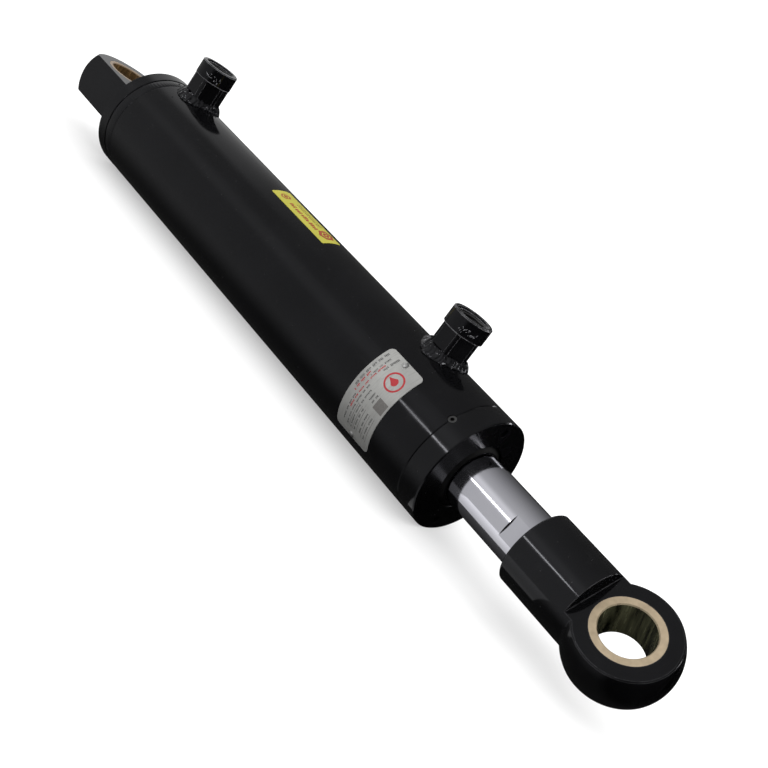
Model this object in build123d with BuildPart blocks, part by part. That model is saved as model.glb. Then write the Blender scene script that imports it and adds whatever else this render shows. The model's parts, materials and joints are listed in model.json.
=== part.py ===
from build123d import *
import os

# Double-acting welded hydraulic cylinder, drawn with its rod fully in. Millimetres.
# +X runs along the cylinder from the base eye to the rod eye, and +Z is the side with the ports.
# The origin is the centre of the base eye's pin bore. Turns about the cylinder's axis are
# in degrees from +Z towards -Y.

# Driving dimensions
bore_diameter = 63.0
tube_diameter = 76.0
rod_diameter = 35.0
pin_diameter = 30.0
closed_length = 539.0
stroke = 225.0

bore_radius = bore_diameter / 2
tube_radius = tube_diameter / 2
rod_radius = rod_diameter / 2
pin_radius = pin_diameter / 2

# Fits, all radial, and the usual edge breaks and chamfers
running_clearance = 0.05
free_clearance = 0.2
edge_break = 0.6
chamfer_size = 1.0

# Eyes: a ball with two flats, bored for a bronze bush
ball_radius = 30.7
base_bush_radius = 18.0
rod_bush_radius = 19.5
base_eye_thickness = 29.5
base_lug_width = 46.0
rod_eye_thickness = 25.6
rod_eye_turn = 38.5
shoulder_from_pin = 24.6

# Base cap, its V weld to the tube and the lug's fillet weld
cap_back = 40.5
joint_x = 55.0
cap_front = 62.0
bevel = 4.5
weld_recess = 0.8
weld_crown = 0.7
lug_weld_leg = 4.0
lug_weld_taper = 44.0

# Barrel and gland
seam_x = 402.0
seam_break = 0.4
gland_face = 416.5
thread_radius = 33.5
thread_start = 385.0
pilot_start = 367.0
nose_radius = 27.5

# Ports: a round collar over a hexagon, welded on the tube
base_port_x = 75.0
rod_port_x = 356.5
port_top = 65.0
collar_radius = 13.0
collar_height = 10.5
hexagon_radius = 13.4
port_thread_radius = 9.3
port_mouth_radius = 10.6
port_thread_depth = 19.0
port_mouth_angle = 90.0
oil_hole_radius = 4.5
port_weld_ring = 12.3
port_weld_radius = 4.2
port_weld_height = 37.6

# Piston, its seals and its nut
piston_back = 84.0
piston_front = 116.0
piston_radius = bore_radius - free_clearance
spigot_radius = 14.0
nut_height = 19.0
nut_thread_radius = 12.0
nut_across_flats = 36.0
rod_back = 63.2
nose_end = piston_front + stroke + 1.0

# Rod end and the sleeve of the rod eye
sleeve_back = 471.4
sleeve_radius = 23.5
sleeve_socket_depth = 37.0
stub_radius = 13.5
stub_length = 35.0
wrench_flats_length = 12.4
wrench_flats_across = 32.0
wrench_flats_turn = 77.5

# Grooves: first station, last station, radius of the groove's floor
rod_seal_groove = (374.0, 382.0, 22.5)
guide_groove = (346.0, 365.0, 20.0)
wiper_groove = (409.5, gland_face, 21.5)
gland_ring_groove = (370.5, 377.0, 28.3)
piston_seal_groove = (95.0, 105.0, 25.0)
piston_guide_grooves = ((86.5, 92.5, 29.0), (107.5, 113.5, 29.0))
piston_ring_groove = (98.0, 101.4, 16.4)

# Ring that backs the gland's O-ring, and the lips of the rod's seals
backup_ring_width = 1.8
backup_ring_gap = 0.2
seal_lip_depth = 3.0
seal_lip_relief = 0.5
wiper_lip_length = 2.0
wiper_lip_overhang = 0.6

# Plate with its drive pins, label and lock screw on the side of the barrel
plate_ends = (343.5, 373.0)
plate_turns = (44.0, 131.0)
plate_thickness = 0.5
plate_pin_turns = (47.5, 127.5)
plate_pin_radius = 1.0
plate_pin_head_radius = 1.7
plate_pin_depth = 3.0
plate_pin_head_height = 0.9
plate_pin_head_taper = 30.0
label_ends = (190.0, 248.5)
label_turns = (-1.5, 21.5)
label_thickness = 0.2
spanner_hole_circle = 31.0
spanner_hole_radius = 2.5
spanner_hole_depth = 6.0
lock_screw_turn = 49.0
lock_screw_radius = 2.5
lock_screw_bottom = 33.8
lock_screw_top = 37.5

plate_middle_x = sum(plate_ends) / 2
plate_pin_top = tube_radius + plate_thickness + free_clearance / 2


def side(turn, x=0.0):
    """The plane at station x that faces straight out of the cylinder at this turn."""
    return Plane.XY.rotated((turn, 0, 0)).move(Location((x, 0, 0)))


def turned(*points, mode=Mode.ADD):
    """Revolve an outline of (station, radius) points about the cylinder's axis, in the current part."""
    with BuildSketch(Plane.XZ) as outline:
        with BuildLine():
            Polyline(*points, close=True)
        make_face()
    revolve(outline.sketch, axis=Axis.X, mode=mode)


def ring(start, end, inner, outer, mode=Mode.ADD):
    """A plain turned ring, or a disc where inner is 0, in the current part."""
    turned((start, inner), (end, inner), (end, outer), (start, outer), mode=mode)


def cut_groove(groove, surface_radius):
    """Cut a groove into the current part, from the given surface to the groove's floor."""
    start, end, floor = groove
    ring(start, end, min(floor, surface_radius), max(floor, surface_radius), mode=Mode.SUBTRACT)


def o_ring(start, end, floor, surface_radius):
    """A round-section ring squeezed between a groove's floor and the surface it seals."""
    with Locations(Plane.YZ.offset((start + end) / 2)):
        Torus((surface_radius + floor) / 2, abs(surface_radius - floor) / 2)


def round_bar(plane, radius, height, taper=0.0, mode=Mode.ADD):
    """A round bar that stands on a plane, or a round hole from it, in the current part."""
    with BuildSketch(plane) as section:
        Circle(radius)
    extrude(section.sketch, amount=height, taper=taper, mode=mode)


def wrapped_sheet(ends, turns, thickness):
    """A thin sheet wrapped on the tube between two stations and two turns, in the current part."""
    with BuildSketch(Plane.XZ.rotated((turns[0], 0, 0))) as section:
        with Locations(((ends[0] + ends[1]) / 2, tube_radius + thickness / 2)):
            Rectangle(ends[1] - ends[0], thickness)
    revolve(section.sketch, axis=Axis.X, revolution_arc=turns[1] - turns[0])


def port_hexagon(x, bottom, top, mode=Mode.ADD):
    """The hexagon of the port at station x, its corners turned down, in the current part."""
    with BuildSketch(Plane.XY.offset(bottom)) as section:
        with Locations((x, 0)):
            RegularPolygon(hexagon_radius, 6)
            Circle(collar_radius - edge_break / 2, mode=Mode.INTERSECT)
    extrude(section.sketch, amount=top - bottom, mode=mode)


# Full rod of the tube's diameter, which the ports and their welds are cut to sit on
with BuildPart() as tube_blank:
    ring(0, closed_length, 0, tube_radius)

# Base end: eye, bush, cap and their welds
with BuildPart() as base_eye:
    Sphere(ball_radius)
    with BuildSketch(Plane.YZ):
        Rectangle(base_lug_width, base_eye_thickness)
    extrude(amount=cap_back)
    Box(3 * cap_back, base_lug_width, base_eye_thickness, mode=Mode.INTERSECT)
    chamfer(base_eye.faces().sort_by(Axis.Z)[-1].edges(), edge_break)
    chamfer(base_eye.faces().sort_by(Axis.Z)[0].edges(), edge_break)
    Cylinder(base_bush_radius, 2 * base_eye_thickness, mode=Mode.SUBTRACT)

with BuildPart() as base_eye_bush:
    Cylinder(base_bush_radius, base_eye_thickness)
    Cylinder(pin_radius, base_eye_thickness, mode=Mode.SUBTRACT)
    chamfer(base_eye_bush.edges().filter_by(GeomType.CIRCLE).sort_by(SortBy.RADIUS)[:2], edge_break)

with BuildPart() as base_eye_weld:
    with BuildSketch(Plane.YZ.offset(cap_back)):
        Rectangle(base_lug_width, base_eye_thickness)
        offset(amount=lug_weld_leg)
    extrude(amount=-lug_weld_leg, taper=lug_weld_taper)
    with BuildSketch(Plane.YZ):
        Rectangle(base_lug_width, base_eye_thickness)
    extrude(amount=cap_back, mode=Mode.SUBTRACT)

with BuildPart() as base_cap:
    turned(
        (cap_back, 0), (cap_front, 0), (cap_front, bore_radius - chamfer_size),
        (cap_front - chamfer_size, bore_radius), (joint_x, bore_radius), (joint_x, tube_radius - bevel),
        (joint_x - bevel, tube_radius), (cap_back + chamfer_size, tube_radius),
        (cap_back, tube_radius - chamfer_size),
    )

weld_start = joint_x - bevel + weld_recess
weld_end = joint_x + bevel - weld_recess
weld_edge = tube_radius - weld_recess
with BuildPart() as base_cap_weld:
    with BuildSketch(Plane.XZ):
        with BuildLine():
            Polyline((weld_start, weld_edge), (joint_x, tube_radius - bevel), (weld_end, weld_edge))
            ThreePointArc((weld_end, weld_edge), (joint_x, weld_edge + weld_crown), (weld_start, weld_edge))
        make_face()
    revolve(axis=Axis.X)

# Barrel: tube, ports and their welds
with BuildPart() as barrel_tube:
    turned(
        (joint_x, bore_radius), (thread_start, bore_radius), (thread_start, thread_radius),
        (seam_x, thread_radius), (seam_x, tube_radius - seam_break), (seam_x - seam_break, tube_radius),
        (joint_x + bevel, tube_radius), (joint_x, tube_radius - bevel),
    )
    for port_x in (base_port_x, rod_port_x):
        round_bar(side(0, port_x), oil_hole_radius, port_top, mode=Mode.SUBTRACT)
    for pin_turn in plate_pin_turns:
        pin_plane = side(pin_turn, plate_middle_x).offset(tube_radius - plate_pin_depth)
        round_bar(pin_plane, plate_pin_radius, 2 * plate_pin_depth, mode=Mode.SUBTRACT)
    lock_screw_plane = side(lock_screw_turn, seam_x).offset(lock_screw_bottom)
    round_bar(lock_screw_plane, lock_screw_radius, tube_radius, mode=Mode.SUBTRACT)


def make_port_boss(x):
    """Weld-on port at station x: collar, hexagon, threaded mouth and oil hole, cut to sit on the tube."""
    with BuildPart() as boss:
        port_hexagon(x, tube_radius / 2, port_top - collar_height)
        round_bar(side(0, x).offset(port_top - collar_height), collar_radius, collar_height)
        chamfer(boss.faces().sort_by(Axis.Z)[-1].edges(), edge_break)
        with Locations((x, 0, port_top)):
            CounterSinkHole(port_thread_radius, port_mouth_radius, port_thread_depth, port_mouth_angle)
            Hole(oil_hole_radius, port_top)
        add(tube_blank.part, mode=Mode.SUBTRACT)
    return boss


def make_port_weld(x):
    """Fillet weld around the hexagon of the port at station x, clear of the cap's weld."""
    with BuildPart() as weld:
        with Locations((x, 0, port_weld_height)):
            Torus(port_weld_ring, port_weld_radius)
        add(tube_blank.part, mode=Mode.SUBTRACT)
        add(base_cap_weld.part, mode=Mode.SUBTRACT)
        port_hexagon(x, 0, port_top, mode=Mode.SUBTRACT)
    return weld


base_port_boss = make_port_boss(base_port_x)
base_port_weld = make_port_weld(base_port_x)
rod_port_boss = make_port_boss(rod_port_x)
rod_port_weld = make_port_weld(rod_port_x)

# Gland: screwed head with its seals, guide bush and lock screw
with BuildPart() as gland:
    turned(
        (nose_end, 0), (gland_face, 0), (gland_face, tube_radius - edge_break),
        (gland_face - edge_break, tube_radius), (seam_x + seam_break, tube_radius),
        (seam_x, tube_radius - seam_break), (seam_x, thread_radius), (thread_start, thread_radius),
        (thread_start, bore_radius), (pilot_start, bore_radius), (pilot_start, nose_radius),
        (nose_end, nose_radius),
    )
    ring(nose_end, gland_face, 0, rod_radius + free_clearance, mode=Mode.SUBTRACT)
    for groove in (guide_groove, rod_seal_groove, wiper_groove):
        cut_groove(groove, rod_radius)
    cut_groove(gland_ring_groove, bore_radius)
    round_bar(lock_screw_plane, lock_screw_radius, tube_radius, mode=Mode.SUBTRACT)
    with BuildSketch(Plane.YZ.offset(gland_face)):
        with PolarLocations(spanner_hole_circle, 2, start_angle=90):
            Circle(spanner_hole_radius)
    extrude(amount=-spanner_hole_depth, mode=Mode.SUBTRACT)

ring_groove_start, ring_groove_end, ring_groove_floor = gland_ring_groove
backup_ring_start = ring_groove_end - backup_ring_width

with BuildPart() as gland_o_ring:
    o_ring(ring_groove_start, backup_ring_start - backup_ring_gap, ring_groove_floor, bore_radius)

with BuildPart() as gland_backup_ring:
    ring(backup_ring_start, ring_groove_end, ring_groove_floor, bore_radius)

with BuildPart() as rod_guide_bush:
    guide_start, guide_end, guide_floor = guide_groove
    ring(guide_start, guide_end, rod_radius + running_clearance, guide_floor)

with BuildPart() as rod_seal:
    seal_start, seal_end, seal_floor = rod_seal_groove
    turned(
        (seal_start, rod_radius + running_clearance), (seal_end, rod_radius + chamfer_size),
        (seal_end, seal_floor - seal_lip_relief), (seal_start, seal_floor),
        (seal_start + seal_lip_depth, (rod_radius + seal_floor) / 2),
    )

with BuildPart() as rod_wiper:
    wiper_start, wiper_end, wiper_floor = wiper_groove
    turned(
        (wiper_start, rod_radius + chamfer_size), (wiper_end - wiper_lip_length, rod_radius + chamfer_size),
        (wiper_end, rod_radius + running_clearance),
        (wiper_end + wiper_lip_overhang, rod_radius + wiper_lip_overhang),
        (wiper_end - wiper_lip_length, wiper_floor), (wiper_start, wiper_floor),
    )

with BuildPart() as gland_lock_screw:
    round_bar(lock_screw_plane, lock_screw_radius, lock_screw_top - lock_screw_bottom)
    with BuildSketch(side(lock_screw_turn, seam_x).offset(lock_screw_top)):
        RegularPolygon(lock_screw_radius / 2, 6)
    extrude(amount=-lock_screw_radius, mode=Mode.SUBTRACT)

# Plate, drive pins and label
with BuildPart() as nameplate:
    wrapped_sheet(plate_ends, plate_turns, plate_thickness)
    for pin_turn in plate_pin_turns:
        round_bar(side(pin_turn, plate_middle_x), plate_pin_radius, 2 * tube_radius, mode=Mode.SUBTRACT)

with BuildPart() as nameplate_pins:
    for pin_turn in plate_pin_turns:
        pin_plane = side(pin_turn, plate_middle_x)
        shank_plane = pin_plane.offset(tube_radius - plate_pin_depth)
        round_bar(shank_plane, plate_pin_radius, plate_pin_top - tube_radius + plate_pin_depth)
        head_plane = pin_plane.offset(plate_pin_top)
        round_bar(head_plane, plate_pin_head_radius, plate_pin_head_height, plate_pin_head_taper)

with BuildPart() as yellow_label:
    wrapped_sheet(label_ends, label_turns, label_thickness)

# Piston with its seals and nut
with BuildPart() as piston:
    ring(piston_back, piston_front, spigot_radius, piston_radius)
    chamfer(piston.edges().filter_by(GeomType.CIRCLE).sort_by(SortBy.RADIUS)[-2:], chamfer_size)
    cut_groove(piston_seal_groove, bore_radius)
    for groove in piston_guide_grooves:
        cut_groove(groove, bore_radius)
    cut_groove(piston_ring_groove, spigot_radius)

with BuildPart() as piston_o_ring:
    o_ring(*piston_ring_groove, spigot_radius)

with BuildPart() as piston_seal:
    seal_start, seal_end, seal_floor = piston_seal_groove
    seal_inner = seal_floor + running_clearance
    seal_outer = bore_radius - running_clearance
    turned(
        (seal_start, seal_inner), (seal_end, seal_inner), (seal_end, seal_outer - chamfer_size),
        (seal_end - chamfer_size, seal_outer), (seal_start + chamfer_size, seal_outer),
        (seal_start, seal_outer - chamfer_size),
    )

with BuildPart() as piston_guide_rings:
    for start, end, floor in piston_guide_grooves:
        ring(start + running_clearance, end - running_clearance,
             floor + running_clearance, bore_radius - running_clearance)

with BuildPart() as piston_nut:
    with BuildSketch(Plane.YZ.offset(piston_back)):
        RegularPolygon(nut_across_flats / 2, 6, major_radius=False)
        Circle(nut_thread_radius, mode=Mode.SUBTRACT)
    extrude(amount=-nut_height)

# Rod and rod eye
stub_end = sleeve_back + stub_length
with BuildPart() as piston_rod:
    turned(
        (rod_back, 0), (stub_end, 0), (stub_end, stub_radius - chamfer_size),
        (stub_end - chamfer_size, stub_radius), (sleeve_back, stub_radius), (sleeve_back, rod_radius),
        (piston_front, rod_radius), (piston_front, spigot_radius), (piston_back, spigot_radius),
        (piston_back, nut_thread_radius), (rod_back + chamfer_size, nut_thread_radius),
        (rod_back, nut_thread_radius - chamfer_size),
    )
    for flat_turn in (wrench_flats_turn, wrench_flats_turn + 180):
        flat_plane = side(flat_turn, sleeve_back - wrench_flats_length / 2)
        with BuildSketch(flat_plane.offset(wrench_flats_across / 2)):
            Rectangle(wrench_flats_length, rod_diameter)
        extrude(amount=rod_radius, mode=Mode.SUBTRACT)

eye_plane = side(rod_eye_turn, closed_length)
with BuildPart() as rod_eye:
    with Locations(eye_plane):
        Sphere(ball_radius)
    turned(
        (sleeve_back, 0), (closed_length, 0), (closed_length, sleeve_radius),
        (sleeve_back + edge_break, sleeve_radius), (sleeve_back, sleeve_radius - edge_break),
    )
    for flat_turn in (rod_eye_turn, rod_eye_turn + 180):
        with BuildSketch(side(flat_turn, closed_length).offset(rod_eye_thickness / 2)):
            with Locations((ball_radius - shoulder_from_pin, 0)):
                Rectangle(2 * ball_radius, 2 * ball_radius)
        extrude(amount=ball_radius, mode=Mode.SUBTRACT)
    flats = rod_eye.faces().filter_by(GeomType.PLANE).filter_by(eye_plane)
    chamfer(flats.edges().filter_by(GeomType.CIRCLE), edge_break)
    with Locations(eye_plane):
        Cylinder(rod_bush_radius, 2 * rod_eye_thickness, mode=Mode.SUBTRACT)
    ring(sleeve_back, sleeve_back + sleeve_socket_depth, 0, stub_radius, mode=Mode.SUBTRACT)

with BuildPart(eye_plane) as rod_eye_bush:
    Cylinder(rod_bush_radius, rod_eye_thickness)
    Cylinder(pin_radius, rod_eye_thickness, mode=Mode.SUBTRACT)
    chamfer(rod_eye_bush.edges().filter_by(GeomType.CIRCLE).sort_by(SortBy.RADIUS)[:2], edge_break)

# Labels and one STEP file for each piece
os.makedirs("parts", exist_ok=True)
base_eye.part.label = "base_eye"
export_step(base_eye.part, "parts/base_eye.step")
base_eye_bush.part.label = "base_eye_bush"
export_step(base_eye_bush.part, "parts/base_eye_bush.step")
base_eye_weld.part.label = "base_eye_weld"
export_step(base_eye_weld.part, "parts/base_eye_weld.step")
base_cap.part.label = "base_cap"
export_step(base_cap.part, "parts/base_cap.step")
base_cap_weld.part.label = "base_cap_weld"
export_step(base_cap_weld.part, "parts/base_cap_weld.step")
barrel_tube.part.label = "barrel_tube"
export_step(barrel_tube.part, "parts/barrel_tube.step")
base_port_boss.part.label = "base_port_boss"
export_step(base_port_boss.part, "parts/base_port_boss.step")
base_port_weld.part.label = "base_port_weld"
export_step(base_port_weld.part, "parts/base_port_weld.step")
rod_port_boss.part.label = "rod_port_boss"
export_step(rod_port_boss.part, "parts/rod_port_boss.step")
rod_port_weld.part.label = "rod_port_weld"
export_step(rod_port_weld.part, "parts/rod_port_weld.step")
gland.part.label = "gland"
export_step(gland.part, "parts/gland.step")
gland_o_ring.part.label = "gland_o_ring"
export_step(gland_o_ring.part, "parts/gland_o_ring.step")
gland_backup_ring.part.label = "gland_backup_ring"
export_step(gland_backup_ring.part, "parts/gland_backup_ring.step")
rod_guide_bush.part.label = "rod_guide_bush"
export_step(rod_guide_bush.part, "parts/rod_guide_bush.step")
rod_seal.part.label = "rod_seal"
export_step(rod_seal.part, "parts/rod_seal.step")
rod_wiper.part.label = "rod_wiper"
export_step(rod_wiper.part, "parts/rod_wiper.step")
gland_lock_screw.part.label = "gland_lock_screw"
export_step(gland_lock_screw.part, "parts/gland_lock_screw.step")
nameplate.part.label = "nameplate"
export_step(nameplate.part, "parts/nameplate.step")
nameplate_pins.part.label = "nameplate_pins"
export_step(nameplate_pins.part, "parts/nameplate_pins.step")
yellow_label.part.label = "yellow_label"
export_step(yellow_label.part, "parts/yellow_label.step")
piston.part.label = "piston"
export_step(piston.part, "parts/piston.step")
piston_o_ring.part.label = "piston_o_ring"
export_step(piston_o_ring.part, "parts/piston_o_ring.step")
piston_seal.part.label = "piston_seal"
export_step(piston_seal.part, "parts/piston_seal.step")
piston_guide_rings.part.label = "piston_guide_rings"
export_step(piston_guide_rings.part, "parts/piston_guide_rings.step")
piston_nut.part.label = "piston_nut"
export_step(piston_nut.part, "parts/piston_nut.step")
piston_rod.part.label = "piston_rod"
export_step(piston_rod.part, "parts/piston_rod.step")
rod_eye.part.label = "rod_eye"
export_step(rod_eye.part, "parts/rod_eye.step")
rod_eye_bush.part.label = "rod_eye_bush"
export_step(rod_eye_bush.part, "parts/rod_eye_bush.step")
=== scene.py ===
import json
import math
import random

import bmesh
import bpy
from mathutils import Matrix, Vector


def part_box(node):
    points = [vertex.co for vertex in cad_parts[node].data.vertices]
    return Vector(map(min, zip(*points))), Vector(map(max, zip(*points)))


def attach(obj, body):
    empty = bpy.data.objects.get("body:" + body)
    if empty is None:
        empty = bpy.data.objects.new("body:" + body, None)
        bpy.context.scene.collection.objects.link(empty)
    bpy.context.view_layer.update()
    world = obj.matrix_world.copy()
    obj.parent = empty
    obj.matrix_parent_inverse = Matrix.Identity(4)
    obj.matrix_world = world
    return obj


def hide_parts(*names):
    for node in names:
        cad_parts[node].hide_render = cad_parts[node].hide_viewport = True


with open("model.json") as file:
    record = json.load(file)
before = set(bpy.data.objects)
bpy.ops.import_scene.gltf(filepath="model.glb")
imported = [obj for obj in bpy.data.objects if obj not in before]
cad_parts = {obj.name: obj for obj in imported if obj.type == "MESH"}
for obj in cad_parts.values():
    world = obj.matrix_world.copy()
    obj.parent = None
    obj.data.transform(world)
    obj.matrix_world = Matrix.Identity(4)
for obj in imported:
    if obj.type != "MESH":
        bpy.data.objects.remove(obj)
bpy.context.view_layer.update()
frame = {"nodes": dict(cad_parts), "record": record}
nodes = frame["nodes"]

MM = 0.001
INK_DEPTH = 0.04 * MM


# ---------------------------------------------------------------- places taken from the frame

def centre(node):
    low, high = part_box(node)
    return (low + high) / 2


def mount_axis(name):
    """The direction of one of the record's mounts."""
    for mount in frame["record"]["mounts"]:
        if mount["name"] == name:
            return Vector(mount["axis"])
    raise ValueError(name)


tube_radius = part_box("barrel_tube")[1].z
weld_ring_x = centre("base_cap_weld").x
cap_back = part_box("base_cap")[0].x
port_stations = {"base": centre("base_port_boss").x, "rod": centre("rod_port_boss").x}
port_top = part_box("rod_port_boss")[1].z
collar_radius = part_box("rod_port_boss")[1].y
lug_half_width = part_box("base_eye")[1].y
lug_half_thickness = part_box("base_eye")[1].z

plate_low, plate_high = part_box("nameplate")
plate_top_radius = -plate_low.y - INK_DEPTH
plate_turns = (math.acos(plate_high.z / -plate_low.y), math.acos(plate_low.z / -plate_low.y))
label_low, label_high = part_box("yellow_label")
label_top_radius = label_high.z - INK_DEPTH
label_turns = (-math.asin(label_high.y / label_high.z), math.asin(-label_low.y / label_high.z))


def on_barrel(x, turn, radius):
    """A point at station x; turn is in radians about the cylinder's axis, from +Z towards -Y."""
    return Vector((x, -radius * math.sin(turn), radius * math.cos(turn)))


# ---------------------------------------------------------------- camera

CAMERA_PLACE = (0.7081, -0.5564, 0.2022)
CAMERA_LOOK = (-0.5328, 0.795, -0.29)
CAMERA_UP = (-0.6272, -0.141, 0.766)
CAMERA_LENS = 56.83


def make_camera():
    data = bpy.data.cameras.new("camera")
    data.lens = CAMERA_LENS
    data.sensor_width = 36.0
    camera = bpy.data.objects.new("camera", data)
    bpy.context.scene.collection.objects.link(camera)
    back = -Vector(CAMERA_LOOK).normalized()
    right = Vector(CAMERA_UP).cross(back).normalized()
    up = back.cross(right)
    rotation = Matrix((right, up, back)).transposed()
    camera.matrix_world = Matrix.Translation(CAMERA_PLACE) @ rotation.to_4x4()
    bpy.context.scene.camera = camera


# ---------------------------------------------------------------- material helpers

NOISE_ROUGHNESS = 0.55


class Nodes:
    """Short calls for the shader nodes that the finishes and the world share."""

    def __init__(self, tree):
        self.tree = tree

    def link(self, source, target):
        self.tree.links.new(source, target)

    def spread(self, source, low, high, to_low=0.0, to_high=1.0, shape="LINEAR"):
        """The value carried from low..high to to_low..to_high, and held beyond the ends."""
        node = self.tree.nodes.new("ShaderNodeMapRange")
        node.interpolation_type = shape
        self.link(source, node.inputs["Value"])
        for socket, value in zip(node.inputs[1:5], (low, high, to_low, to_high)):
            socket.default_value = value
        return node.outputs["Result"]

    def math(self, operation, first, second=0.0):
        node = self.tree.nodes.new("ShaderNodeMath")
        node.operation = operation
        for socket, value in zip(node.inputs, (first, second)):
            if isinstance(value, (int, float)):
                socket.default_value = value
            else:
                self.link(value, socket)
        return node.outputs[0]


class Surface(Nodes):
    """A Principled material with short calls for the patterns that the finishes share."""

    def __init__(self, name, **sockets):
        self.material = bpy.data.materials.new(name)
        self.material.use_nodes = True
        super().__init__(self.material.node_tree)
        self.shader = self.tree.nodes["Principled BSDF"]
        for socket, value in sockets.items():
            self.shader.inputs[socket.replace("_", " ")].default_value = value
        self.place = self.tree.nodes.new("ShaderNodeTexCoord").outputs["Object"]

    def stretched(self, scale):
        """Object coordinates multiplied by (x, y, z)."""
        node = self.tree.nodes.new("ShaderNodeVectorMath")
        node.operation = "MULTIPLY"
        self.link(self.place, node.inputs[0])
        node.inputs[1].default_value = scale
        return node.outputs[0]

    def noise(self, scale, detail, stretch=(1, 1, 1)):
        node = self.tree.nodes.new("ShaderNodeTexNoise")
        self.link(self.stretched(stretch), node.inputs["Vector"])
        node.inputs["Scale"].default_value = scale
        node.inputs["Detail"].default_value = detail
        node.inputs["Roughness"].default_value = NOISE_ROUGHNESS
        return node.outputs["Fac"]

    def specks(self, scale, size):
        """1 in small round dots scattered at the given scale, 0 elsewhere; size is in cells."""
        node = self.tree.nodes.new("ShaderNodeTexVoronoi")
        self.link(self.place, node.inputs["Vector"])
        node.inputs["Scale"].default_value = scale
        return self.spread(node.outputs["Distance"], size, size * 0.6)

    def blend(self, factor, first, second):
        """A colour between two, each an output or a fixed (r, g, b)."""
        node = self.tree.nodes.new("ShaderNodeMix")
        node.data_type = "RGBA"
        self.link(factor, node.inputs["Factor"])
        for socket, value in (("A", first), ("B", second)):
            slot = [i for i in node.inputs if i.name == socket and i.type == "RGBA"][0]
            if isinstance(value, tuple):
                slot.default_value = (*value, 1)
            else:
                self.link(value, slot)
        return [o for o in node.outputs if o.type == "RGBA"][0]

    def facing(self, direction):
        """How squarely the surface faces along a fixed direction of the object, 0 to 1."""
        normal = self.tree.nodes.new("ShaderNodeTexCoord").outputs["Normal"]
        node = self.tree.nodes.new("ShaderNodeVectorMath")
        node.operation = "DOT_PRODUCT"
        self.link(normal, node.inputs[0])
        node.inputs[1].default_value = direction
        return self.math("ABSOLUTE", node.outputs["Value"])

    def edges(self, radius):
        """1 on convex and concave edges within this radius, 0 on open surfaces."""
        bevel = self.tree.nodes.new("ShaderNodeBevel")
        bevel.samples = 6
        bevel.inputs["Radius"].default_value = radius
        node = self.tree.nodes.new("ShaderNodeVectorMath")
        node.operation = "DOT_PRODUCT"
        self.link(bevel.outputs["Normal"], node.inputs[0])
        self.link(self.tree.nodes.new("ShaderNodeNewGeometry").outputs["Normal"], node.inputs[1])
        return self.spread(node.outputs["Value"], 0.99, 0.93)

    def turned_about_x(self, angle):
        """Object coordinates turned about the X axis, so that a slanting axis comes to stand on Z."""
        node = self.tree.nodes.new("ShaderNodeVectorRotate")
        node.rotation_type = "X_AXIS"
        self.link(self.place, node.inputs["Vector"])
        node.inputs["Angle"].default_value = angle
        self.place = node.outputs[0]

    def bump(self, heights, round_edges=0.0):
        """Bumps from (height output, strength, depth in metres), stacked on each other."""
        normal = None
        if round_edges:
            bevel = self.tree.nodes.new("ShaderNodeBevel")
            bevel.samples = 4
            bevel.inputs["Radius"].default_value = round_edges
            normal = bevel.outputs["Normal"]
        for height, strength, depth in heights:
            node = self.tree.nodes.new("ShaderNodeBump")
            node.inputs["Strength"].default_value = strength
            node.inputs["Distance"].default_value = depth
            self.link(height, node.inputs["Height"])
            if normal:
                self.link(normal, node.inputs["Normal"])
            normal = node.outputs["Normal"]
        self.link(normal, self.shader.inputs["Normal"])

    def colour(self, source):
        self.link(source, self.shader.inputs["Base Color"])

    def rough(self, source):
        self.link(source, self.shader.inputs["Roughness"])


# ---------------------------------------------------------------- finishes

ENAMEL_TINT = (0.93, 0.94, 1.0, 1.0)
DUST_TONE = (0.025, 0.025, 0.025)
# Colour of the painted glints on weld beads.
PAINTED_GLINT_TONE = (0.2, 0.2, 0.21)
# Pale edge colour and its reach: rubbed wear and a painted highlight along the edges.
EDGE_WEAR_AND_HIGHLIGHT_TONE = (0.22, 0.22, 0.23)
EDGE_WEAR_AND_HIGHLIGHT_REACH = 0.9 * MM
DULLING = 0.14


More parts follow.
